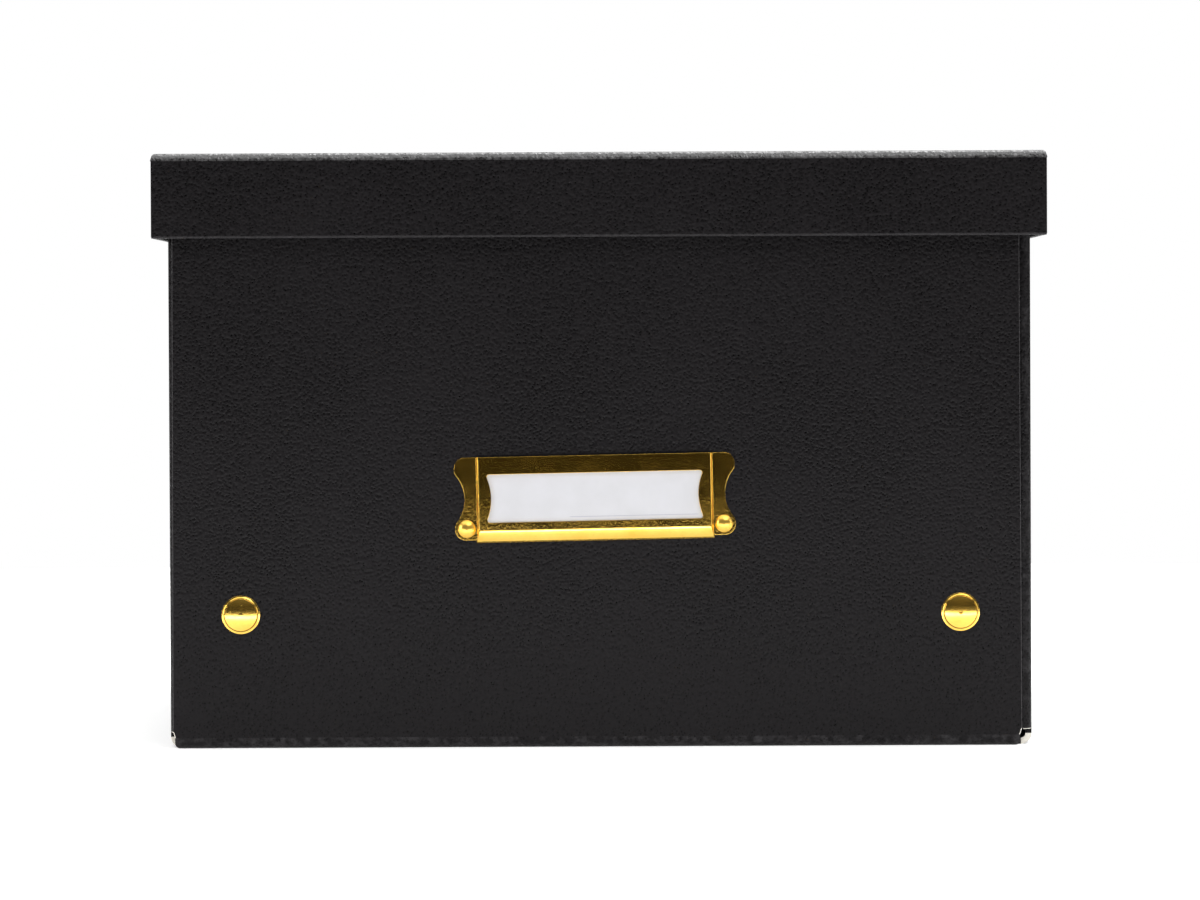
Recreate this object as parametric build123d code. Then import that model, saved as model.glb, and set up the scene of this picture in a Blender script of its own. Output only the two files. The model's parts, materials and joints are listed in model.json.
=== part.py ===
"""Flat-pack archival box of laminated board: folded tray, lift-off lid, press studs and a label holder.

The tray and the lid are each one creased blank. A panel between two creases is one rigid solid, and so is
each fold. The end walls (front and back) are outermost; each side wall carries a flap at both ends that turns
the corner behind the end wall and is held there by one press stud. The lid's corners are the same, with tabs
that are glued.

Frame: millimetres, +Z up, front wall facing -Y, origin on the ground under the middle of the box.
"""
from build123d import *
import os
from math import cos, radians, sin

# ---- board and folds -------------------------------------------------------------------------------------
BOARD = 2.0             # laminated board, cover paper and lining included
EDGE_ROUND = 0.5        # softened corners of a paper-wrapped board edge
TOUCH = 0.1             # running gap wherever a loose or pressed part meets its neighbour

# ---- tray ------------------------------------------------------------------------------------------------
BODY_W = 280.0          # outside of one side wall to outside of the other
BODY_D = 360.0          # outside of the front wall to outside of the back wall
BODY_H = 190.5          # height of the walls
BASE_FOLD_IN = 1.5      # inside radius of the folds between base and walls
CORNER_FOLD_IN = 1.0    # inside radius of the upright folds between side walls and flaps
END_WALL_INSET = 2.35   # how far an end wall stops short of each side of the tray
FRONT_WALL_SHIFT = -1.2     # the front wall was creased this far off centre
END_WALL_TAPER = 0.5    # each upright edge of an end wall leans in by this much towards the top
CORNER_NOTCH = 0.7      # cut off the lower corners of the end walls, measured along the ground
NOTCH_RISE = 2.2        # height over which that cut runs out
END_FOLD_ROUND = 1.6    # rounding of the ends of an end wall's base fold, seen from the front
NOTCH_GAP = 1.5         # the flaps and their folds start this far above the base folds

# ---- flaps -----------------------------------------------------------------------------------------------
FLAP_L = 60.0           # from the upright fold to the flap's free end
FLAP_SLOPE = 7.0        # how far the flap's upper and lower edges close in towards its free end
FLAP_CORNER_R = 6.0
FLAP_DROP = 1.5         # the flap stops this far below the top of the walls

# ---- lid -------------------------------------------------------------------------------------------------
LID_SIDE_GAP = 3.0      # side walls to the lid's side rims
LID_END_GAP = 1.0       # end walls to the lid's tabs
LID_RIM_H = 27.4        # from the lid's top face down to the free edge of the rim
LID_SEAT = 0.2          # gap between the walls and the underside of the lid
LID_FOLD_IN = 0.4       # inside radius of every fold in the lid
LID_END_INSET = 0.45    # how far a front or back rim stops short of each side of the lid
LID_CORNER_ROUND = 1.3  # rounding of the lid's top corners, seen from the front
LID_TAB_L = 42.0        # from the upright fold to the tab's free end
LID_TAB_RISE = 8.6      # the tab starts this far above the rim's free edge
LID_TAB_SLOPE = 3.0     # the tab's lower edge rises by this much towards its free end
RIM_ROUND = 0.7         # rounding of the rims' free edges

# ---- press studs -----------------------------------------------------------------------------------------
STUD_INSET = 23.4       # from each side of the tray
STUD_Z = 43.4           # above the ground
SHEET_METAL = 0.4       # plate thickness of socket and stud
CAP_R = 6.2
CAP_H = 1.9
CAP_EDGE_R = 1.0        # rounding of the cap's rim
CAP_DOME = 0.75         # how far the cap's face rises inside that rim
CAP_SHANK_R = 1.9
CAP_FLARE = 0.5         # the shank's end is flared this far over the socket's flange
CAP_FLARE_H = 0.2
SOCKET_FLANGE_R = 5.2
SOCKET_WALL = 1.0
SOCKET_H = 2.1
SOCKET_MOUTH_R = 2.45
SPRING_WIRE_R = 0.25
SPRING_CLEAR = 0.05     # the snap ring's wire to the edge of the socket's mouth, ring open round the stud
SPRING_ROOM = 0.2       # round the outside of the snap ring
STUD_FLANGE_R = 4.5
STUD_SLACK = 0.5        # head of the stud to the edge of the socket's mouth
STUD_UNDERCUT = 0.25    # the neck is thinner than the head by this much all round
STUD_NECK_H = 0.7
STUD_TIP_GAP = 0.2      # tip of the stud to the flared shank
POST_HEAD_R = 4.6
POST_HEAD_H = 0.8
POST_SHANK_R = 1.2
POST_REACH = 0.7        # how far the post's shank enters the stud

# ---- label holder ----------------------------------------------------------------------------------------
HOLDER_X = -1.5         # middle of the frame
HOLDER_Z = 67.0         # lower edge of the frame
HOLDER_TILT = 1.0       # degrees, right end up, as riveted
HOLDER_SHEET = 0.5
FRAME_W = 76.2
FRAME_H = 27.7
FRAME_RISE = 1.9        # face of the frame above the wall
FRAME_BEND_R = 0.9      # outside radius of the frame's side bends
FOOT_BEND_R = 0.4       # inside radius where the frame's sides meet the ears
ROLL_H = 4.0            # height of the rolled lower edge
ROLL_FOOT = 0.6         # height above the wall that the roll comes down to
ROLL_LIP = 0.5          # height of the lip that turns in under the roll
SIDE_BAR = 3.25         # beside the window, at its corners
TOP_BAR = 5.6           # above the window
BOTTOM_BAR = 6.5        # below the window, roll included
WINDOW_BULGE = 1.3      # the window's ends bow inwards by this much
WINDOW_BULGE_R = 18.2
WINDOW_ROUND = 0.8
EAR_Z = 1.0             # lower edge of the ears above the frame's lower edge
EAR_MARGIN = 3.75       # from the rivet to the ear's outer edge
EAR_LOBE_R = 3.4
EAR_LOBE_H = 5.15       # height of a lobe at the ear's outer edge
EAR_WAIST_D = 3.25      # depth of the hollow between the lobes
EAR_WAIST_ROUND = 2.2
RIVET_GAP = 0.3         # rivet head to the bend beside it
RIVET_RISE = 3.6        # rivet above the ear's lower edge
RIVET_HEAD_R = 2.85
RIVET_HEAD_H = 1.2
RIVET_SHANK_R = 1.5
RIVET_TAIL_R = 2.3
RIVET_TAIL_H = 0.8
WASHER_R = 3.6
WASHER_T = 0.5

# ---- label card ------------------------------------------------------------------------------------------
CARD_T = 0.4
CARD_SIDE_GAP = 0.45    # between the card and the frame's sides
CARD_TOP_GAP = 0.9      # the card stops this far below the top of the frame
CARD_FACE_GAP = 0.15    # between the card and the back of the frame

# ---- sizes that follow from the ones above ---------------------------------------------------------------
BASE_FOLD_R = BASE_FOLD_IN + BOARD
CORNER_FOLD_R = CORNER_FOLD_IN + BOARD
LID_FOLD_R = LID_FOLD_IN + BOARD
SNAP_GAP = SOCKET_H + SHEET_METAL + TOUCH       # end wall to flap, filled by socket and stud
FLAP_Y = BODY_D / 2 - BOARD - SNAP_GAP          # outer face of the flaps, from the middle
FOLD_Y = FLAP_Y - CORNER_FOLD_R                 # where the side walls end
NOTCH_Z = BASE_FOLD_R + NOTCH_GAP               # lower edge of the flaps

LID_W = BODY_W + 2 * (LID_SIDE_GAP + BOARD)
LID_D = BODY_D + 2 * (LID_END_GAP + 2 * BOARD)
LID_TOP = BODY_H + LID_SEAT + BOARD
RIM_Z = LID_TOP - LID_RIM_H
LID_FOLD_Z = LID_TOP - LID_FOLD_R               # where the rims end and their folds begin
LID_TAB_Y = LID_D / 2 - BOARD                   # outer face of the tabs, against the end rims

STUD_X = BODY_W / 2 - STUD_INSET
CAP_FLARE_R = CAP_SHANK_R + CAP_FLARE
SPRING_R = SOCKET_MOUTH_R + SPRING_CLEAR + SPRING_WIRE_R
SOCKET_CHAMBER_R = SPRING_R + SPRING_WIRE_R + SPRING_ROOM
SOCKET_RING_R = SOCKET_CHAMBER_R + SOCKET_WALL
STUD_HEAD_R = SOCKET_MOUTH_R - STUD_SLACK
STUD_NECK_R = STUD_HEAD_R - STUD_UNDERCUT
STUD_TOP = SNAP_GAP - SHEET_METAL - CAP_FLARE_H - STUD_TIP_GAP

ROLL_DROP = FRAME_RISE - ROLL_FOOT
ROLL_R = ((ROLL_H - ROLL_LIP) ** 2 + ROLL_DROP ** 2) / (2 * ROLL_DROP)
ROLL_CENTRE = FRAME_RISE - ROLL_R               # height of the roll's centre above the wall
WINDOW_W = FRAME_W - 2 * SIDE_BAR
WINDOW_H = FRAME_H - TOP_BAR - BOTTOM_BAR
RIVET_OUT = FOOT_BEND_R + RIVET_GAP + RIVET_HEAD_R      # rivet beyond the frame's side
RIVET_X = FRAME_W / 2 + RIVET_OUT
RIVET_Z = EAR_Z + RIVET_RISE
EAR_TIP = RIVET_X + EAR_MARGIN

FRONT, BACK = 1, -1
RIGHT, LEFT = 1, -1
END_NAMES = {FRONT: "front", BACK: "back"}
SIDE_NAMES = {RIGHT: "right", LEFT: "left"}


# ---- helpers ---------------------------------------------------------------------------------------------
def span(x0, x1, y0, y1, z0, z1):
    """A block between two values on each axis."""
    return Pos((x0 + x1) / 2, (y0 + y1) / 2, (z0 + z1) / 2) * Box(x1 - x0, y1 - y0, z1 - z0)


def upright(outline, back_y, thickness):
    """An outline in X and Z, made solid from back_y towards the front."""
    plane = Plane(origin=(0, back_y, 0), x_dir=(1, 0, 0), z_dir=(0, -1, 0))
    return extrude(plane * outline, amount=thickness, dir=(0, -1, 0))


def polygon(*points):
    """A face from its corner points."""
    return make_face(Polyline(*points, close=True))


def quarter_ring(outer_r, toward_x, toward_y):
    """The section of a fold: a quarter of a ring as thick as the board, in one quadrant."""
    ring = Circle(outer_r) - Circle(outer_r - BOARD)
    return ring & Pos(toward_x * outer_r / 2, toward_y * outer_r / 2) * Rectangle(outer_r, outer_r)


def fold_along_x(outer_r, y, z, up, x0, x1):
    """A fold running along X about (y, z), on the front side, opening downwards or upwards."""
    plane = Plane(origin=(x0, y, z), x_dir=(0, 1, 0), z_dir=(1, 0, 0))
    return extrude(plane * quarter_ring(outer_r, -1, up), amount=x1 - x0, dir=(1, 0, 0))


def fold_along_y(outer_r, x, z, up, y0, y1):
    """A fold running along Y about (x, z), on the right-hand side."""
    plane = Plane(origin=(x, y1, z), x_dir=(1, 0, 0), z_dir=(0, -1, 0))
    return extrude(plane * quarter_ring(outer_r, 1, up), amount=y1 - y0, dir=(0, -1, 0))


def fold_along_z(outer_r, x, y, z0, z1):
    """An upright fold about (x, y), at the front right corner."""
    return extrude(Pos(x, y, z0) * quarter_ring(outer_r, 1, -1), amount=z1 - z0, dir=(0, 0, 1))


def at_end(shape, end):
    """Takes what was made for the front to the front or the back."""
    return shape if end == FRONT else mirror(shape, about=Plane.XZ)


def at_side(shape, side):
    """Takes what was made for the right to the right or the left."""
    return shape if side == RIGHT else mirror(shape, about=Plane.YZ)


def soften(solid, keep, radius):
    """Rounds the straight edges of the two large faces across Y, where keep(edge centre) is true."""
    faces = solid.faces().filter_by(Axis.Y).sort_by(Axis.Y)
    edges = ShapeList(faces[0].edges() + faces[-1].edges()).filter_by(GeomType.LINE)
    return fillet(edges.filter_by(lambda e: keep(e.center())), radius)


def turned(*points):
    """A solid turned about Z from its half section: (radius, height) points."""
    return revolve(Plane.XZ * polygon(*points), axis=Axis.Z)


def facing_front(shape, x, y, z):
    """Stands a part turned about Z at (x, y, z) with its +Z pointing out of the front."""
    return Plane(origin=(x, y, z), x_dir=(1, 0, 0), z_dir=(0, -1, 0)).location * shape


# ---- tray ------------------------------------------------------------------------------------------------
def end_wall_outline(shift):
    half = BODY_W / 2 - END_WALL_INSET
    left, right = shift - half, shift + half
    return polygon(
        (left + CORNER_NOTCH, BASE_FOLD_R),
        (right - CORNER_NOTCH, BASE_FOLD_R),
        (right, BASE_FOLD_R + NOTCH_RISE),
        (right - END_WALL_TAPER, BODY_H),
        (left + END_WALL_TAPER, BODY_H),
        (left, BASE_FOLD_R + NOTCH_RISE),
    )


def end_wall(shift):
    """The front wall; the back wall is the same, mirrored and not shifted."""
    wall = upright(end_wall_outline(shift), BOARD - BODY_D / 2, BOARD)
    wall = soften(wall, lambda c: c.Z > BASE_FOLD_R + TOUCH, EDGE_ROUND)
    for side in (LEFT, RIGHT):
        wall -= facing_front(Cylinder(CAP_SHANK_R + TOUCH, 3 * BOARD), side * STUD_X, -BODY_D / 2, STUD_Z)
    return wall


def end_fold(shift):
    half = BODY_W / 2 - END_WALL_INSET - CORNER_NOTCH
    left, right = shift - half, shift + half
    outline = polygon((left, 0), (right, 0), (right, BASE_FOLD_R), (left, BASE_FOLD_R))
    outline = fillet(outline.vertices().group_by(Axis.Y)[0], END_FOLD_ROUND)
    fold = fold_along_x(BASE_FOLD_R, BASE_FOLD_R - BODY_D / 2, BASE_FOLD_R, -1, left, right)
    return fold & upright(outline, BODY_D / 2, BODY_D)


def base_board():
    x, y = BODY_W / 2 - BASE_FOLD_R, BODY_D / 2 - BASE_FOLD_R
    board = span(-x, x, -y, y, 0, BOARD)
    return chamfer(board.edges().filter_by(Axis.Z), y - FOLD_Y)


def side_wall():
    wall = span(BODY_W / 2 - BOARD, BODY_W / 2, -FOLD_Y, FOLD_Y, BASE_FOLD_R, BODY_H)
    return fillet(wall.edges().filter_by(Axis.Y).group_by(Axis.Z)[-1], EDGE_ROUND)


def side_fold():
    return fold_along_y(BASE_FOLD_R, BODY_W / 2 - BASE_FOLD_R, BASE_FOLD_R, -1, -FOLD_Y, FOLD_Y)


def corner_fold():
    return fold_along_z(CORNER_FOLD_R, BODY_W / 2 - CORNER_FOLD_R, -FOLD_Y, NOTCH_Z, BODY_H - FLAP_DROP)


def flap():
    """The front right flap."""
    hinge_x = BODY_W / 2 - CORNER_FOLD_R
    free_x = hinge_x - FLAP_L
    top = BODY_H - FLAP_DROP
    outline = polygon(
        (hinge_x, NOTCH_Z), (hinge_x, top), (free_x, top - FLAP_SLOPE), (free_x, NOTCH_Z + FLAP_SLOPE)
    )
    outline = fillet(outline.vertices().group_by(Axis.X)[0], FLAP_CORNER_R)
    board = upright(outline, BOARD - FLAP_Y, BOARD)
    board = soften(board, lambda c: c.X < hinge_x - TOUCH, EDGE_ROUND)
    return board - facing_front(Cylinder(POST_SHANK_R + TOUCH, 3 * BOARD), STUD_X, -FLAP_Y, STUD_Z)


# ---- lid -------------------------------------------------------------------------------------------------
def lid_end_outline():
    """A front or back rim with its fold, seen from the front."""
    half = LID_W / 2 - LID_END_INSET
    outline = polygon((-half, RIM_Z), (half, RIM_Z), (half, LID_TOP), (-half, LID_TOP))
    return fillet(outline.vertices().group_by(Axis.Y)[-1], LID_CORNER_ROUND)


def lid_end_rim():
    half = LID_W / 2 - LID_END_INSET
    rim = span(-half, half, -LID_D / 2, BOARD - LID_D / 2, RIM_Z, LID_FOLD_Z)
    return soften(rim, lambda c: c.Z < RIM_Z + TOUCH, RIM_ROUND)


def lid_end_fold():
    half = LID_W / 2 - LID_END_INSET
    fold = fold_along_x(LID_FOLD_R, LID_FOLD_R - LID_D / 2, LID_FOLD_Z, 1, -half, half)
    return fold & upright(lid_end_outline(), LID_D / 2, LID_D)


def lid_top():
    x, y = LID_W / 2 - LID_FOLD_R, LID_D / 2 - LID_FOLD_R
    return span(-x, x, -y, y, LID_TOP - BOARD, LID_TOP)


def lid_side_rim():
    end_y = LID_TAB_Y - LID_FOLD_R
    rim = span(LID_W / 2 - BOARD, LID_W / 2, -end_y, end_y, RIM_Z, LID_FOLD_Z)
    return fillet(rim.edges().filter_by(Axis.Y).group_by(Axis.Z)[0], RIM_ROUND)


def lid_side_fold():
    end_y = LID_D / 2 - LID_FOLD_R
    return fold_along_y(LID_FOLD_R, LID_W / 2 - LID_FOLD_R, LID_FOLD_Z, 1, -end_y, end_y)


def lid_tab():
    """The front right tab with its upright fold."""
    hinge_x = LID_W / 2 - LID_FOLD_R
    low = RIM_Z + LID_TAB_RISE
    outline = polygon(
        (hinge_x, low),
        (hinge_x, LID_FOLD_Z),
        (hinge_x - LID_TAB_L, LID_FOLD_Z),
        (hinge_x - LID_TAB_L, low + LID_TAB_SLOPE),
    )
    board = upright(outline, BOARD - LID_TAB_Y, BOARD)
    return board + fold_along_z(LID_FOLD_R, hinge_x, LID_FOLD_R - LID_TAB_Y, low, LID_FOLD_Z)


# ---- press studs, each turned about Z and facing +Z --------------------------------------------------------
def stud_cap():
    """The domed cap, seated on the wall at height 0, with its shank flared inside the socket."""
    rim_h = CAP_H - CAP_DOME
    flat_r = CAP_R - CAP_EDGE_R
    flange_z = -BOARD - SHEET_METAL
    foot_z = flange_z - CAP_FLARE_H
    section = make_face(
        Polyline((flat_r, rim_h), (0, rim_h), (0, foot_z), (CAP_FLARE_R, foot_z),
                 (CAP_FLARE_R, flange_z), (CAP_SHANK_R, flange_z), (CAP_SHANK_R, 0), (CAP_R, 0),
                 (CAP_R, rim_h - CAP_EDGE_R))
        + RadiusArc((CAP_R, rim_h - CAP_EDGE_R), (flat_r, rim_h), CAP_EDGE_R)
    )
    dome_r = (flat_r ** 2 + CAP_DOME ** 2) / (2 * CAP_DOME)
    dome = Pos(0, 0, CAP_H - dome_r) * Sphere(dome_r) & Pos(0, 0, CAP_H) * Cylinder(flat_r, 2 * CAP_DOME)
    return revolve(Plane.XZ * section, axis=Axis.Z) + dome


def socket():
    """The socket, its flange on the wall's inner face at height 0 and its mouth at +Z."""
    lip = SOCKET_H - SHEET_METAL
    return turned(
        (CAP_SHANK_R, 0), (SOCKET_FLANGE_R, 0), (SOCKET_FLANGE_R, SHEET_METAL), (SOCKET_RING_R, SHEET_METAL),
        (SOCKET_RING_R, SOCKET_H), (SOCKET_MOUTH_R, SOCKET_H), (SOCKET_MOUTH_R, lip), (SOCKET_CHAMBER_R, lip),
        (SOCKET_CHAMBER_R, SHEET_METAL), (CAP_SHANK_R, SHEET_METAL),
    )


def snap_ring():
    """The open wire ring that sits in the socket."""
    ring = Pos(0, 0, SOCKET_H / 2) * Torus(SPRING_R, SPRING_WIRE_R)
    return ring - span(0, SPRING_R + BOARD, -SPRING_WIRE_R, SPRING_WIRE_R, 0, SOCKET_H)


def stud():
    """The stud, its flange on the flap at height 0, pressed on to the post from above."""
    neck = SHEET_METAL + STUD_NECK_H
    body = turned(
        (0, 0), (STUD_FLANGE_R, 0), (STUD_FLANGE_R, SHEET_METAL), (STUD_NECK_R, SHEET_METAL),
        (STUD_NECK_R, neck), (STUD_HEAD_R, (neck + STUD_TOP) / 2), (STUD_NECK_R, STUD_TOP), (0, STUD_TOP),
    )
    return body - Cylinder(POST_SHANK_R, 2 * (POST_REACH + TOUCH))


def post():
    """The post, its head on the flap's inner face at height 0 and its shank at +Z."""
    head = Pos(0, 0, -POST_HEAD_H / 2) * Cylinder(POST_HEAD_R, POST_HEAD_H)
    head = fillet(head.edges().group_by(Axis.Z)[0], POST_HEAD_H / 2)
    length = BOARD + POST_REACH
    return head + Pos(0, 0, length / 2) * Cylinder(POST_SHANK_R, length)


# ---- label holder, made flat: X along the frame, Y up it, Z away from the wall -----------------------------
HOLDER_PLANE = Plane(
    origin=(HOLDER_X, -BODY_D / 2, HOLDER_Z),
    x_dir=(cos(radians(HOLDER_TILT)), 0, sin(radians(HOLDER_TILT))),
    z_dir=(0, -1, 0),
)


def on_wall(shape):
    """Moves what belongs to the label holder on to the front wall."""
    return HOLDER_PLANE.location * shape


def frame_section(half, rise, bend_r, foot_r):
    """Across the frame: flat face, rounded sides and, where foot_r is given, flared feet."""
    right = [Line((0, rise), (half - bend_r, rise)),
             RadiusArc((half - bend_r, rise), (half, rise - bend_r), bend_r)]
    if foot_r:
        foot_z = HOLDER_SHEET + foot_r
        right += [Line((half, rise - bend_r), (half, foot_z)),
                  RadiusArc((half, foot_z), (half + foot_r, HOLDER_SHEET), -foot_r),
                  Line((half + foot_r, HOLDER_SHEET), (half + foot_r, 0)),
                  Line((half + foot_r, 0), (0, 0))]
    else:
        right += [Line((half, rise - bend_r), (half, -HOLDER_SHEET)),
                  Line((half, -HOLDER_SHEET), (0, -HOLDER_SHEET))]
    face = make_face(right + [Line(right[-1] @ 1, (0, rise))])
    return face + mirror(face, about=Plane.YZ)


def roll_section(inset, height):
    """Along the frame's height: flat face, rolled lower edge and turned-in lip, all set in by inset."""
    radius = ROLL_R - inset
    lip_y = ROLL_LIP + inset
    lip_z = ROLL_CENTRE + (radius ** 2 - (ROLL_H - lip_y) ** 2) ** 0.5
    floor_z = -HOLDER_SHEET if inset else 0
    return make_face(
        Polyline((lip_y, lip_z), (lip_y - ROLL_LIP, lip_z - ROLL_LIP), (lip_y - ROLL_LIP, floor_z),
                 (height, floor_z), (height, FRAME_RISE - inset), (ROLL_H, FRAME_RISE - inset))
        + RadiusArc((lip_y, lip_z), (ROLL_H, FRAME_RISE - inset), radius)
    )


def frame_shell(half, bend_r, foot_r, inset, height):
    """A solid with the frame's rounded sides and rolled lower edge."""
    across = extrude(
        Plane(origin=(0, height, 0), x_dir=(1, 0, 0), z_dir=(0, -1, 0))
        * frame_section(half, FRAME_RISE - inset, bend_r, foot_r),
        amount=height, dir=(0, -1, 0),
    )
    reach = FRAME_W
    along = extrude(
        Plane(origin=(-reach, 0, 0), x_dir=(0, 1, 0), z_dir=(1, 0, 0)) * roll_section(inset, height),
        amount=2 * reach, dir=(1, 0, 0),
    )
    return across & along


def ear_outline():
    """The right ear: two lobes with a hollow between them."""
    root = FRAME_W / 2 - HOLDER_SHEET
    middle = (EAR_Z + FRAME_H) / 2
    half_hollow = (FRAME_H - EAR_Z) / 2 - EAR_LOBE_H
    hollow_r = (half_hollow ** 2 + EAR_WAIST_D ** 2) / (2 * EAR_WAIST_D)
    plate = polygon((root, EAR_Z), (EAR_TIP, EAR_Z), (EAR_TIP, FRAME_H), (root, FRAME_H))
    plate = fillet(plate.vertices().group_by(Axis.X)[-1], EAR_LOBE_R)
    plate -= Pos(EAR_TIP - EAR_WAIST_D + hollow_r, middle) * Circle(hollow_r)
    shoulders = plate.vertices().filter_by(lambda v: v.X > EAR_TIP - TOUCH).sort_by(Axis.Y)[1:3]
    return fillet(shoulders, EAR_WAIST_ROUND)


def window():
    opening = Rectangle(WINDOW_W, WINDOW_H)
    for side in (LEFT, RIGHT):
        opening -= Pos(side * (WINDOW_W / 2 - WINDOW_BULGE + WINDOW_BULGE_R), 0) * Circle(WINDOW_BULGE_R)
    return Pos(0, BOTTOM_BAR + WINDOW_H / 2) * fillet(opening.vertices(), WINDOW_ROUND)


def label_holder():
    half = FRAME_W / 2
    outer = frame_shell(half, FRAME_BEND_R, FOOT_BEND_R, 0, FRAME_H)
    inner = frame_shell(half - HOLDER_SHEET, FRAME_BEND_R - HOLDER_SHEET, 0, HOLDER_SHEET, 2 * FRAME_H)
    ear = extrude(ear_outline(), amount=HOLDER_SHEET)
    ear -= Pos(RIVET_X, RIVET_Z) * Cylinder(RIVET_SHANK_R + TOUCH, 3 * HOLDER_SHEET)
    holder = outer + ear + mirror(ear, about=Plane.YZ) - inner
    return holder - Pos(0, 0, FRAME_RISE / 2) * extrude(window(), amount=FRAME_RISE)


def holder_rivet():
    """A rivet with its head's seat at height HOLDER_SHEET above the wall."""
    dome_r = (RIVET_HEAD_R ** 2 + RIVET_HEAD_H ** 2) / (2 * RIVET_HEAD_H)
    rim = Pos(0, 0, RIVET_HEAD_H) * Cylinder(RIVET_HEAD_R, 2 * RIVET_HEAD_H)
    dome = Pos(0, 0, RIVET_HEAD_H - dome_r) * Sphere(dome_r) & rim
    dome = Pos(0, 0, HOLDER_SHEET) * dome
    foot = -BOARD - WASHER_T
    shank = Pos(0, 0, (foot + HOLDER_SHEET) / 2) * Cylinder(RIVET_SHANK_R, HOLDER_SHEET - foot)
    tail = Pos(0, 0, foot - RIVET_TAIL_H / 2) * Cylinder(RIVET_TAIL_R, RIVET_TAIL_H)
    return dome + shank + fillet(tail.edges().group_by(Axis.Z)[0], RIVET_TAIL_H / 2)


def rivet_washer():
    ring = Cylinder(WASHER_R, WASHER_T) - Cylinder(RIVET_SHANK_R + TOUCH, 2 * WASHER_T)
    return Pos(0, 0, -BOARD - WASHER_T / 2) * ring


def label_card():
    """The card stands on the inside of the rolled edge, just behind the frame."""
    half = FRAME_W / 2 - HOLDER_SHEET - CARD_SIDE_GAP
    face = FRAME_RISE - HOLDER_SHEET - CARD_FACE_GAP
    foot = ROLL_H - ((ROLL_R - HOLDER_SHEET) ** 2 - (face - ROLL_CENTRE) ** 2) ** 0.5 + TOUCH
    return span(-half, half, foot, FRAME_H - CARD_TOP_GAP, face - CARD_T, face)


# ---- all the parts ---------------------------------------------------------------------------------------
def tray_parts():
    made = {"base_board": base_board()}
    for end, shift in ((FRONT, FRONT_WALL_SHIFT), (BACK, 0.0)):
        made[f"{END_NAMES[end]}_wall"] = at_end(end_wall(shift), end)
        made[f"{END_NAMES[end]}_base_fold"] = at_end(end_fold(shift), end)
    for side in (LEFT, RIGHT):
        made[f"{SIDE_NAMES[side]}_wall"] = at_side(side_wall(), side)
        made[f"{SIDE_NAMES[side]}_base_fold"] = at_side(side_fold(), side)
    return made


def corner_parts(end, side):
    """Everything at one corner of the tray: upright fold, flap and press stud."""
    corner = f"{END_NAMES[end]}_{SIDE_NAMES[side]}"
    wall_y = -BODY_D / 2
    front_right = {
        "corner_fold": corner_fold(),
        "flap": flap(),
        "stud_cap": facing_front(stud_cap(), STUD_X, wall_y, STUD_Z),
        "stud_socket": mirror(
            facing_front(socket(), STUD_X, -wall_y - BOARD, STUD_Z), about=Plane.XZ),
        "snap_ring": mirror(
            facing_front(snap_ring(), STUD_X, -wall_y - BOARD, STUD_Z), about=Plane.XZ),
        "stud": facing_front(stud(), STUD_X, -FLAP_Y, STUD_Z),
        "stud_post": facing_front(post(), STUD_X, BOARD - FLAP_Y, STUD_Z),
    }
    return {f"{name}_{corner}": at_end(at_side(shape, side), end) for name, shape in front_right.items()}


def lid_parts():
    made = {"lid_top": lid_top()}
    for end, name in END_NAMES.items():
        made[f"lid_{name}_rim"] = at_end(lid_end_rim(), end)
        made[f"lid_{name}_fold"] = at_end(lid_end_fold(), end)
    for side, name in SIDE_NAMES.items():
        made[f"lid_{name}_rim"] = at_side(lid_side_rim(), side)
        made[f"lid_{name}_fold"] = at_side(lid_side_fold(), side)
    for end, end_name in END_NAMES.items():
        for side, side_name in SIDE_NAMES.items():
            made[f"lid_tab_{end_name}_{side_name}"] = at_end(at_side(lid_tab(), side), end)
    return made


def holder_parts():
    made = {"label_holder": on_wall(label_holder()), "label_card": on_wall(label_card())}
    for side, name in SIDE_NAMES.items():
        place = Pos(side * RIVET_X, RIVET_Z)
        made[f"holder_rivet_{name}"] = on_wall(place * holder_rivet())
        made[f"rivet_washer_{name}"] = on_wall(place * rivet_washer())
    return made


def drill_rivet_holes(front_wall):
    for side in (LEFT, RIGHT):
        hole = Cylinder(RIVET_SHANK_R + TOUCH, 3 * BOARD)
        front_wall -= on_wall(Pos(side * RIVET_X, RIVET_Z) * hole)
    return front_wall


def all_parts():
    made = {**tray_parts(), **lid_parts(), **holder_parts()}
    made["front_wall"] = drill_rivet_holes(made["front_wall"])
    rings = []
    for end in (FRONT, BACK):
        for side in (LEFT, RIGHT):
            corner = corner_parts(end, side)
            ring = next(name for name in corner if name.startswith("snap_ring"))
            rings.append(corner.pop(ring))
            made.update(corner)
    made["snap_rings"] = Compound(children=[r.solid() for r in rings])
    return made


def main():
    os.makedirs("parts", exist_ok=True)
    for name, shape in all_parts().items():
        export_step(shape, f"parts/{name}.step")


main()
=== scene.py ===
import json
from math import atan2, cos, pi, radians, sin

import bpy
from mathutils import Matrix, Vector


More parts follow.
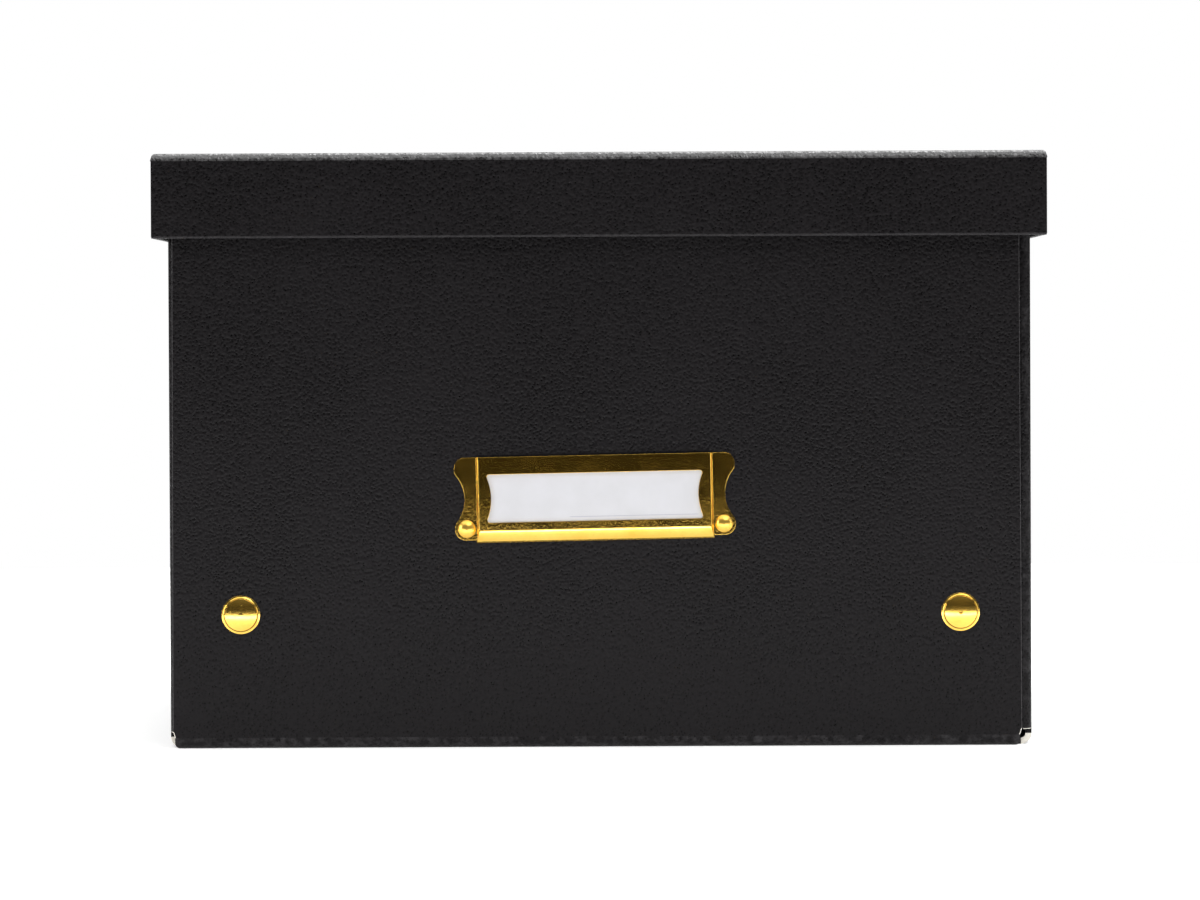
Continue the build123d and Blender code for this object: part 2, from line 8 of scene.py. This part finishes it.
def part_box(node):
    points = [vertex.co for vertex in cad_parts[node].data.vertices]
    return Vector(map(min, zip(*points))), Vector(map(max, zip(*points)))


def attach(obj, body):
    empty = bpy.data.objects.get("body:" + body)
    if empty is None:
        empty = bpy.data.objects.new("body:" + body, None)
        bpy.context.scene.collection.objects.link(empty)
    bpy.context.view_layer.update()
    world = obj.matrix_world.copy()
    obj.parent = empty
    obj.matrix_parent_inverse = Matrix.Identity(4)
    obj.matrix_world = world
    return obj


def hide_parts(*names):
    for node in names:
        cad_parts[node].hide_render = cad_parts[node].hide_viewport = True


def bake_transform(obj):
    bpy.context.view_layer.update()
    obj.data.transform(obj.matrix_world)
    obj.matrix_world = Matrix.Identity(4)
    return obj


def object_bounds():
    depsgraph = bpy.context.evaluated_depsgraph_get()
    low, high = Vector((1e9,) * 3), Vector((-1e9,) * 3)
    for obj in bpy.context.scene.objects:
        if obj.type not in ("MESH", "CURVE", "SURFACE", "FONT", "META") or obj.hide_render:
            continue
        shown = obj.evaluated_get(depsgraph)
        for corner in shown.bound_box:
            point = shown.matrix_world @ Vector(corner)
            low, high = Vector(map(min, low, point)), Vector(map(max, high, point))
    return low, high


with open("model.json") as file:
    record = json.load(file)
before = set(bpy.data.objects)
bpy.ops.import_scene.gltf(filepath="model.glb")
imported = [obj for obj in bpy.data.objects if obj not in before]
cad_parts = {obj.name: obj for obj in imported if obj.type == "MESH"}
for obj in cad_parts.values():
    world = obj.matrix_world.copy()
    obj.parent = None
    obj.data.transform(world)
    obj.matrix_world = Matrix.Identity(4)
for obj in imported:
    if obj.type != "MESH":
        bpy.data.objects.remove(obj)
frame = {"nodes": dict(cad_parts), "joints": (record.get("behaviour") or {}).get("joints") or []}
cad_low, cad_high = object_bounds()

# Archival box: black grained paper on board, polished brass holder and studs.
# Metres, +Z up, front towards -Y.

MM = 0.001
CORNERS = [(end, side) for end in ("front", "back") for side in ("left", "right")]

# ---- camera --------------------------------------------------------------------------------------
CAMERA_DISTANCE = 2.0       # from the lid's front face
CAMERA_HEIGHT = 0.132
FRAME_WIDTH = 0.3876        # what the picture spans at the lid's front face
LOOK_AT_Z = 0.0964          # height of the picture's middle on that face
CAMERA_ROLL = radians(0.26)
SENSOR = 36.0

# ---- studio --------------------------------------------------------------------------------------
FLOOR_RADIUS = 1.45
FLOOR_SIDES = 96
FLOOR_GLOW = 0.4            # light of its own, so that the box throws hardly any shadow on it
MIDDLE = (0, 0, 0.1)
LIGHTS = (                  # name, place, what it is aimed at, width, height, watts
    ("overhead", (0.3, 0, 3.0), (0.3, 0, 0), 6.0, 6.0, 160),
    ("back_high", (0.5, 0.9, 2.2), (0.1, 0, 0.19), 1.8, 1.0, 30),
    ("front_high", (0.7, -1.9, 2.0), MIDDLE, 1.2, 0.8, 14),
    ("left_side", (-2.2, -1.2, 0.6), MIDDLE, 0.5, 1.2, 17),
    ("right_side", (2.2, -1.0, 0.6), MIDDLE, 0.5, 1.2, 6),
    ("floor_fill", (0, -0.42, 0.012), (0, -0.18, 0.03), 0.6, 0.02, 0.25),
)
ROOM_LOW = (0.030, 0.026, 0.018, 1)     # the room's light below the first of two elevations
ROOM_HIGH = (0.35, 0.35, 0.35, 1)       # and above the second
ROOM_LOW_AT, ROOM_HIGH_AT = 0.2, 0.9    # sines of those elevations

# ---- pieces that CAD leaves out ------------------------------------------------------------------
CREASE_STEPS = 60           # round a corner crease
CREASE_ROUND = 0.35 * MM
LINING_T = 0.15 * MM
LINING_ROUND = 2 * MM
LINING_MARGIN = 3 * MM      # from a wall lining's ends to the folds beside it
BASE_LINING_INSET = LINING_MARGIN + 3 * MM
LID_LINING_INSET = 9 * MM
TURN_IN = 14 * MM           # cover paper turned in over the upper edges, above the linings
CARD_ROUND = 1.5 * MM
CARD_BEVEL = 0.08 * MM
RULE_LENGTH = 0.56          # of the card's width
RULE_RIGHT, RULE_UP = 0.17, -0.29   # of the card's width and height, from its middle
RULE_W = 0.18 * MM
RULE_T = 0.02 * MM
RULE_ROUND = 0.04 * MM
RULE_BEVEL = 0.005 * MM
SHARP = radians(35)         # edges that turn more than this aren't shaded smooth


# ---- shader helpers ------------------------------------------------------------------------------
class Shader:
    """A node material under construction."""

    def __init__(self, name):
        self.material = bpy.data.materials.new(name)
        self.material.use_nodes = True
        self.tree = self.material.node_tree
        self.tree.nodes.clear()
        output = self.node("ShaderNodeOutputMaterial")
        self.surface = self.node("ShaderNodeBsdfPrincipled")
        self.link(self.surface.outputs[0], output.inputs["Surface"])
        self.place = self.node("ShaderNodeTexCoord").outputs["Object"]

    def node(self, kind, **settings):
        made = self.tree.nodes.new(kind)
        for key, value in settings.items():
            setattr(made, key, value)
        return made

    def link(self, source, target):
        self.tree.links.new(source, target)

    def feed(self, target, value):
        """Links an output, or sets a plain value."""
        if hasattr(value, "links"):
            self.link(value, target)
        else:
            target.default_value = value

    def math(self, operation, a, b=0.0):
        made = self.node("ShaderNodeMath", operation=operation)
        for socket, value in zip(made.inputs, (a, b)):
            self.feed(socket, value)
        return made.outputs[0]

    def part(self, vector, axis):
        """One coordinate of a vector."""
        made = self.node("ShaderNodeSeparateXYZ")
        self.link(vector, made.inputs[0])
        return made.outputs[axis]

    def noise(self, scale, detail=2.0, roughness=0.5):
        made = self.node("ShaderNodeTexNoise")
        self.link(self.place, made.inputs["Vector"])
        made.inputs["Scale"].default_value = scale
        made.inputs["Detail"].default_value = detail
        made.inputs["Roughness"].default_value = roughness
        return made.outputs["Fac"]

    def cells(self, scale):
        made = self.node("ShaderNodeTexVoronoi", feature="SMOOTH_F1")
        self.link(self.place, made.inputs["Vector"])
        made.inputs["Scale"].default_value = scale
        made.inputs["Smoothness"].default_value = 0.6
        return made.outputs["Distance"]

    def spread(self, value, low, high, to_low, to_high):
        """Maps low..high to to_low..to_high, clamped."""
        made = self.node("ShaderNodeMapRange", clamp=True)
        self.feed(made.inputs["Value"], value)
        ends = {"From Min": low, "From Max": high, "To Min": to_low, "To Max": to_high}
        for key, number in ends.items():
            made.inputs[key].default_value = number
        return made.outputs[0]

    def mix(self, factor, a, b):
        made = self.node("ShaderNodeMix", data_type="RGBA")
        self.feed(made.inputs[0], factor)
        self.feed(made.inputs[6], a if hasattr(a, "links") else (*a, 1))
        self.feed(made.inputs[7], b if hasattr(b, "links") else (*b, 1))
        return made.outputs[2]

    def bump(self, height, distance, strength=1.0, below=None):
        made = self.node("ShaderNodeBump")
        self.feed(made.inputs["Height"], height)
        made.inputs["Distance"].default_value = distance
        made.inputs["Strength"].default_value = strength
        if below is not None:
            self.link(below, made.inputs["Normal"])
        return made.outputs[0]

    def set(self, **values):
        for key, value in values.items():
            self.feed(self.surface.inputs[key.replace("_", " ")], value)
        return self.material


# ---- materials -----------------------------------------------------------------------------------
INK = (0.0004, 0.0003, 0.0004)      # covering paper in the grain's valleys, and on its hills
INK_LIGHT = (0.0080, 0.0070, 0.0078)
# lighter paper: worn patches and cut ends, and a painted highlight on the lid's folds and along the
# lid rims' lower edge
WEAR_AND_HIGHLIGHT = (0.070, 0.067, 0.070)
RAW_BOARD = (0.88, 0.85, 0.78)      # cut board, and its darker fibres
RAW_BOARD_DARK = (0.74, 0.70, 0.62)
LINING = (0.018, 0.017, 0.018)
LINING_LIGHT = (0.026, 0.025, 0.026)
BRASS = (0.94, 0.62, 0.13)
BRASS_SMEAR = (0.84, 0.50, 0.08)
BRASS_SPECK = (0.30, 0.16, 0.04)
BRASS_EDGE = 0.16 * MM      # rounding of brass edges
SMEAR_DULLS = 0.07          # what a smear and a speck add to the brass's roughness
SPECK_DULLS = 0.25
NICKEL = (0.62, 0.60, 0.56)
NICKEL_SMEAR = (0.45, 0.43, 0.40)
CARD = (0.53, 0.53, 0.555)
CARD_DULL = (0.50, 0.50, 0.52)
RULE_INK = (0.30, 0.30, 0.37)
RULE_INK_THIN = (0.40, 0.40, 0.46)
FLOOR = (0.90, 0.90, 0.90)
FLOOR_DULL = (0.87, 0.87, 0.87)
LOW = 5.5 * MM              # cut board shows below this height
EDGE_HIGHLIGHT_HEIGHT = 0.9 * MM      # height of the painted highlight along the lower edge of the lid's rims
GRAIN = 1050                # cells of the paper's grain along a metre
GRAIN_DEPTH = 0.22 * MM
GRAIN_SMOOTH, GRAIN_ROUGH = 0.20, 0.44      # roughness in its valleys and on its hills
FIBRE_DEPTH = 0.05 * MM
SWELL_DEPTH = 1.2 * MM      # slow unevenness of the board under the paper
PAPER_SHEEN = 0.01


def covered_board(name, wear_and_highlight=0.0, cut_axis=None, shine=0.10, highlight_edge_z=None):
    """Black grained paper.

    wear lightens it in patches, worn ones on most creases and a painted highlight on the lid's
    folds;
    cut_axis wears the cut ends that face along that axis and bares their lowest part; and
    highlight_edge_z is the height of a lower edge along which a painted highlight is laid.
    """
    s = Shader(name)
    grain = s.cells(GRAIN)
    fibre = s.noise(3400, 3.0, 0.6)
    cloud = s.noise(26, 3.0, 0.55)
    speck = s.noise(1100, 2.0, 0.7)
    tone = s.spread(speck, 0.35, 0.65, -0.15, 0.5)
    tone = s.math("ADD", s.spread(cloud, 0.35, 0.7, 0.0, 0.2), tone)
    tone = s.math("ADD", tone, s.spread(grain, 0.0, 0.55, 0.0, 0.6))
    colour = s.mix(tone, INK, INK_LIGHT)
    if wear_and_highlight:
        # lighter patches: worn ones on most creases, a painted highlight on the lid's folds
        patches = s.spread(s.noise(420, 4.0, 0.65), 0.45, 0.75, 0.0, 1.0)
        colour = s.mix(s.math("MULTIPLY", patches, wear_and_highlight), colour, WEAR_AND_HIGHLIGHT)
    # a painted highlight along the lid rims' lower edge, broken up by the specks
    if highlight_edge_z is not None:
        painted_edge_highlight = s.spread(s.part(s.place, "Z"), highlight_edge_z, highlight_edge_z + EDGE_HIGHLIGHT_HEIGHT, 0.5, 0.0)
        highlight_breakup = s.spread(speck, 0.3, 0.6, 0.5, 1.0)
        colour = s.mix(s.math("MULTIPLY", painted_edge_highlight, highlight_breakup), colour, WEAR_AND_HIGHLIGHT)
    if cut_axis:
        colour = cut_ends(s, colour, cut_axis)
    swell = s.bump(s.noise(14, 2.0, 0.5), SWELL_DEPTH, 0.3)
    relief = s.bump(grain, GRAIN_DEPTH, 0.8, below=swell)
    relief = s.bump(fibre, FIBRE_DEPTH, 0.7, below=relief)
    uneven = s.spread(cloud, 0.35, 0.7, -0.02, 0.03)
    rough = s.math("ADD", s.spread(grain, 0.1, 0.6, GRAIN_SMOOTH, GRAIN_ROUGH), uneven)
    s.surface.inputs["Specular IOR Level"].default_value = shine
    s.surface.inputs["Sheen Weight"].default_value = PAPER_SHEEN
    return s.set(Base_Color=colour, Roughness=rough, Normal=relief)


def cut_ends(s, colour, axis):
    """Wears the colour where the surface faces along the axis, and bares the board low down."""
    normal = s.node("ShaderNodeNewGeometry").outputs["True Normal"]
    facing = s.math("GREATER_THAN", s.math("ABSOLUTE", s.part(normal, axis)), 0.5)
    rubbed = s.spread(s.noise(500, 3.0, 0.6), 0.3, 0.7, 0.15, 0.75)
    colour = s.mix(s.math("MULTIPLY", facing, rubbed), colour, WEAR_AND_HIGHLIGHT)
    low = s.math("LESS_THAN", s.part(s.place, "Z"), LOW)
    raw = s.mix(s.noise(1900, 4.0, 0.6), RAW_BOARD, RAW_BOARD_DARK)
    return s.mix(s.math("MULTIPLY", facing, low), colour, raw)


def lining(name):
    """Smooth charcoal paper pasted inside."""
    s = Shader(name)
    cloud = s.noise(40, 3.0, 0.5)
    colour = s.mix(s.spread(cloud, 0.3, 0.7, 0.0, 1.0), LINING, LINING_LIGHT)
    relief = s.bump(s.noise(4200, 3.0, 0.6), 0.02 * MM, 0.5)
    return s.set(Base_Color=colour, Roughness=s.spread(cloud, 0.3, 0.7, 0.66, 0.76), Normal=relief)


def brass(name, polish=0.03):
    """Polished brass with faint smears and a few specks; polish is its least roughness."""
    s = Shader(name)
    smear = s.noise(90, 4.0, 0.6)
    pits = s.noise(1300, 3.0, 0.65)
    speck = s.spread(s.noise(1500, 2.0, 0.7), 0.66, 0.8, 0.0, 1.0)
    colour = s.mix(s.spread(smear, 0.35, 0.7, 0.0, 1.0), BRASS, BRASS_SMEAR)
    colour = s.mix(s.math("MULTIPLY", speck, 0.55), colour, BRASS_SPECK)
    dull = s.math("MULTIPLY", speck, SPECK_DULLS)
    rough = s.math("ADD", s.spread(smear, 0.3, 0.75, polish, polish + SMEAR_DULLS), dull)
    rounded = s.node("ShaderNodeBevel", samples=6)
    rounded.inputs["Radius"].default_value = BRASS_EDGE
    relief = s.bump(s.noise(110, 2.0, 0.5), 0.05 * MM, 0.3, below=rounded.outputs[0])
    relief = s.bump(pits, 0.03 * MM, 0.5, below=relief)
    return s.set(Base_Color=colour, Metallic=1.0, Roughness=rough, Normal=relief)


def nickel(name):
    s = Shader(name)
    smear = s.noise(300, 3.0, 0.6)
    colour = s.mix(smear, NICKEL, NICKEL_SMEAR)
    relief = s.bump(s.noise(2400, 2.0, 0.5), 0.01 * MM, 0.4)
    rough = s.spread(smear, 0.3, 0.7, 0.2, 0.38)
    return s.set(Base_Color=colour, Metallic=1.0, Roughness=rough, Normal=relief)


def card_paper(name):
    """Smooth white card with soft fibres."""
    s = Shader(name)
    cloud = s.noise(120, 3.0, 0.5)
    colour = s.mix(s.spread(cloud, 0.35, 0.7, 0.0, 1.0), CARD, CARD_DULL)
    relief = s.bump(s.noise(5200, 3.0, 0.6), 0.01 * MM, 0.4)
    return s.set(Base_Color=colour, Roughness=0.62, Normal=relief)


def rule_ink(name):
    s = Shader(name)
    colour = s.mix(s.noise(2500, 2.0, 0.6), RULE_INK, RULE_INK_THIN)
    return s.set(Base_Color=colour, Roughness=0.6)


def floor_material():
    s = Shader("studio_floor")
    colour = s.mix(s.noise(3, 2.0, 0.5), FLOOR, FLOOR_DULL)
    s.surface.inputs["Emission Color"].default_value = (1, 1, 1, 1)
    s.surface.inputs["Emission Strength"].default_value = FLOOR_GLOW
    return s.set(Base_Color=colour, Roughness=0.8)


MATERIALS = {
    "board": covered_board("covered_board"),
    # the lid's folds, whose lighter patches are a painted highlight
    "crease": covered_board("painted_highlight_crease", wear_and_highlight=1.0, shine=1.0),
    # the lid's rims, with a painted highlight along their lower edge
    "rim": covered_board("covered_rim", highlight_edge_z=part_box("lid_front_rim")[0].z),
    "board_x": covered_board("covered_board_cut_x", cut_axis="X"),
    "crease_x": covered_board("covered_crease_cut_x", wear_and_highlight=0.45, cut_axis="X"),
    "crease_y": covered_board("covered_crease_cut_y", wear_and_highlight=0.45, cut_axis="Y"),
    "crease_z": covered_board("covered_crease_cut_z", wear_and_highlight=0.3, cut_axis="Z"),
    "lining": lining("lining_paper"),
    "brass": brass("polished_brass"),
    "dome": brass("domed_brass", polish=0.13),
    "rivet": brass("rivet_brass", polish=0.26),
    "nickel": nickel("nickel_plate"),
    "card": card_paper("white_card"),
    "rule": rule_ink("rule_ink"),
}


def material_for(node):
    """Which material a CAD node wears."""
    if node == "label_holder":
        return "brass"
    if node.startswith("holder_rivet"):
        return "rivet"
    if node.startswith("stud_cap"):
        return "dome"
    if node.startswith(("stud_", "snap_rings", "rivet_washer")):
        return "nickel"
    if node == "label_card":
        return "card"
    if node.startswith("lid_") and node.endswith("_rim"):
        return "rim"
    if node in ("front_wall", "back_wall"):
        return "board_x"
    if node in ("front_base_fold", "back_base_fold"):
        return "crease_x"
    if node in ("left_base_fold", "right_base_fold"):
        return "crease_y"
    if node.startswith("corner_fold"):
        return "crease_z"
    if node.endswith("_fold"):
        return "crease"
    return "board"


def dress_frame():
    """Gives every CAD node its one material."""
    for node, thing in frame["nodes"].items():
        thing.data.materials.clear()
        thing.data.materials.append(MATERIALS[material_for(node)])


# ---- pieces --------------------------------------------------------------------------------------
def lofted(name, loops, material, place=None):
    """A closed solid through a row of loops with the same number of points."""
    count = len(loops[0])
    points = [point for loop in loops for point in loop]
    faces = [tuple(reversed(range(count))), tuple(range(len(points) - count, len(points)))]
    for row in range(len(loops) - 1):
        for i in range(count):
            a, b = row * count + i, row * count + (i + 1) % count
            faces.append((a, b, b + count, a + count))
    mesh = bpy.data.meshes.new(name)
    mesh.from_pydata(points, [], faces)
    if place:
        mesh.transform(place)
    mesh.validate()
    mesh.materials.append(MATERIALS[material])
    made = bpy.data.objects.new(name, mesh)
    bpy.context.collection.objects.link(made)
    for face in mesh.polygons:
        face.use_smooth = True
    mesh.set_sharp_from_angle(angle=SHARP)
    return made


def rounded_rectangle(width, height, radius, z, steps=6):
    """Points round a rectangle centred on the origin."""
    points = []
    for quarter, (sx, sy) in enumerate(((1, 1), (-1, 1), (-1, -1), (1, -1))):
        middle = (sx * (width / 2 - radius), sy * (height / 2 - radius))
        for step in range(steps + 1):
            turn = (quarter + step / steps) * pi / 2
            points.append((middle[0] + radius * cos(turn), middle[1] + radius * sin(turn), z))
    return points


def sheet_solid(name, width, height, thickness, radius, bevel, material, place):
    """A flat sheet with rounded corners and eased edges, from z = 0 upwards before it is placed."""
    levels = ((0, bevel), (bevel, 0), (thickness - bevel, 0), (thickness, bevel))
    loops = [rounded_rectangle(width - 2 * d, height - 2 * d, radius, z) for z, d in levels]
    return lofted(name, loops, material, place)


def crease_section(inner, outer, low, high, steps=4):
    """Radius and height round a crease's section, with rounded corners."""
    r = CREASE_ROUND
    right, left, top, bottom = outer - r, inner + r, high - r, low + r
    corners = ((right, top), (left, top), (left, bottom), (right, bottom))
    section = []
    for quarter, (x, z) in enumerate(corners):
        for step in range(steps + 1):
            turn = (quarter + step / steps) * pi / 2
            section.append((x + r * cos(turn), z + r * sin(turn)))
    return section


def make_corner_crease(end, side):
    """The upright crease between a side wall and its flap."""
    node = f"corner_fold_{end}_{side}"
    low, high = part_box(node)
    out_x, out_y = (1 if side == "right" else -1), (-1 if end == "front" else 1)
    axis_x = low.x if out_x > 0 else high.x
    axis_y = high.y if out_y < 0 else low.y
    outer = high.x - low.x
    wall_low, wall_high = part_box("right_wall")
    inner = outer - (wall_high.x - wall_low.x)
    section = crease_section(inner, outer, low.z, high.z)
    loops = []
    for step in range(CREASE_STEPS + 1):
        turn = step / CREASE_STEPS * pi / 2
        c, s = out_x * cos(turn), out_y * sin(turn)
        loops.append([(axis_x + r * c, axis_y + r * s, z) for r, z in section])
    if out_x * out_y < 0:
        loops.reverse()
    piece = lofted(f"corner_crease_{end}_{side}", loops, "crease_z")
    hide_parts(node)
    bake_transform(piece)


def holder_turn():
    """The tilt of the label holder, from the way the card slides."""
    axis = next(j["axis"] for j in frame["joints"] if j["name"] == "card_slide")
    return atan2(-axis[0], axis[2])


def make_card():
    """The white card with rounded corners and one faint rule to write on."""
    low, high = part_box("label_card")
    turn = holder_turn()
    spread_x, spread_z = high.x - low.x, high.z - low.z
    width = (spread_x * cos(turn) - spread_z * sin(turn)) / cos(2 * turn)
    height = (spread_z * cos(turn) - spread_x * sin(turn)) / cos(2 * turn)
    thickness = high.y - low.y
    upright = Matrix.Rotation(-turn, 4, "Y") @ Matrix.Rotation(pi / 2, 4, "X")
    back = ((low.x + high.x) / 2, high.y, (low.z + high.z) / 2)
    place = Matrix.Translation(back) @ upright
    piece = sheet_solid(
        "white_card", width, height, thickness, CARD_ROUND, CARD_BEVEL, "card", place)
    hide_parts("label_card")
    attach(piece, "card")
    shift = Matrix.Translation((width * RULE_RIGHT, height * RULE_UP, thickness))
    rule = sheet_solid(
        "card_rule", width * RULE_LENGTH, RULE_W, RULE_T, RULE_ROUND, RULE_BEVEL, "rule",
        place @ shift)
    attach(rule, "card")


def add_lining(name, width, height, place, body):
    piece = sheet_solid(
        name, width, height, LINING_T, LINING_ROUND, LINING_T / 4, "lining", place)
    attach(piece, body)


def flat_lining(name, node, inset, z, body):
    """A lining that lies flat, its lower face at z, inset from the edges of a panel."""
    low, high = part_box(node)
    x0, x1 = low.x + inset, high.x - inset
    y0, y1 = low.y + inset, high.y - inset
    place = Matrix.Translation(((x0 + x1) / 2, (y0 + y1) / 2, z))
    add_lining(name, x1 - x0, y1 - y0, place, body)


def wall_lining(node, out):
    """A lining on a side wall's inner face; out is 1 for the right wall and -1 for the left one."""
    low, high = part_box(node)
    height = high.z - low.z - TURN_IN
    face = (low + high) / 2 - Vector((out, 0, 0)) * ((high.x - low.x) / 2)
    face.z = low.z + height / 2
    up, inward = Vector((0, 0, 1)), Vector((-out, 0, 0))
    turn = Matrix((up.cross(inward), up, inward)).transposed().to_4x4()
    width = high.y - low.y - 2 * LINING_MARGIN
    add_lining(f"{node}_lining", width, height, Matrix.Translation(face) @ turn, "tray")


def make_linings():
    above_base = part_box("base_board")[1].z
    under_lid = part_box("lid_top")[0].z - LINING_T
    flat_lining("base_lining", "base_board", BASE_LINING_INSET, above_base, "tray")
    wall_lining("left_wall", -1)
    wall_lining("right_wall", 1)
    flat_lining("lid_lining", "lid_top", LID_LINING_INSET, under_lid, "lid")


# ---- studio --------------------------------------------------------------------------------------
def make_floor():
    mesh = bpy.data.meshes.new("floor")
    turns = [2 * pi * i / FLOOR_SIDES for i in range(FLOOR_SIDES)]
    rim = [(FLOOR_RADIUS * cos(t), FLOOR_RADIUS * sin(t), 0) for t in turns]
    mesh.from_pydata(rim, [], [range(FLOOR_SIDES)])
    floor = bpy.data.objects.new("floor", mesh)
    bpy.context.collection.objects.link(floor)
    mesh.materials.append(floor_material())


def make_camera():
    data = bpy.data.cameras.new("camera")
    data.sensor_width = SENSOR
    data.lens = SENSOR * CAMERA_DISTANCE / FRAME_WIDTH
    data.clip_end = 200
    camera = bpy.data.objects.new("camera", data)
    bpy.context.collection.objects.link(camera)
    lid_front = cad_low.y
    camera.location = (0, lid_front - CAMERA_DISTANCE, CAMERA_HEIGHT)
    aim = Vector((0, lid_front, LOOK_AT_Z)) - camera.location
    level = aim.to_track_quat("-Z", "Y").to_matrix().to_4x4()
    camera.rotation_euler = (level @ Matrix.Rotation(-CAMERA_ROLL, 4, "Z")).to_euler()
    bpy.context.scene.camera = camera


def softbox(name, place, aim, width, height, power):
    data = bpy.data.lights.new(name, "AREA")
    data.shape = "RECTANGLE"
    data.size = width
    data.size_y = height
    data.energy = power
    light = bpy.data.objects.new(name, data)
    light.location = place
    towards = Vector(aim) - Vector(place)
    light.rotation_euler = towards.to_track_quat("-Z", "Y").to_euler()
    light.visible_camera = False
    bpy.context.collection.objects.link(light)


def make_world():
    """White to look at, but as light dim and warm round the horizon and pale overhead."""
    world = bpy.data.worlds.new("studio")
    world.use_nodes = True
    tree = world.node_tree
    tree.nodes.clear()
    output = tree.nodes.new("ShaderNodeOutputWorld")
    chooser = tree.nodes.new("ShaderNodeMixShader")
    path = tree.nodes.new("ShaderNodeLightPath")
    room = tree.nodes.new("ShaderNodeBackground")
    seen = tree.nodes.new("ShaderNodeBackground")
    seen.inputs[0].default_value = (1, 1, 1, 1)
    seen.inputs[1].default_value = 1.0
    coords = tree.nodes.new("ShaderNodeTexCoord")
    parts = tree.nodes.new("ShaderNodeSeparateXYZ")
    ramp = tree.nodes.new("ShaderNodeValToRGB")
    low, high = ramp.color_ramp.elements
    low.position, low.color = ROOM_LOW_AT, ROOM_LOW
    high.position, high.color = ROOM_HIGH_AT, ROOM_HIGH
    tree.links.new(coords.outputs["Generated"], parts.inputs[0])
    tree.links.new(parts.outputs["Z"], ramp.inputs[0])
    tree.links.new(ramp.outputs[0], room.inputs[0])
    tree.links.new(path.outputs["Is Camera Ray"], chooser.inputs[0])
    tree.links.new(room.outputs[0], chooser.inputs[1])
    tree.links.new(seen.outputs[0], chooser.inputs[2])
    tree.links.new(chooser.outputs[0], output.inputs[0])
    bpy.context.scene.world = world


bpy.context.scene.view_settings.view_transform = "Standard"
make_camera()
make_world()
for light in LIGHTS:
    softbox(*light)
make_floor()
dress_frame()
make_card()
make_linings()
for corner in CORNERS:
    make_corner_crease(*corner)
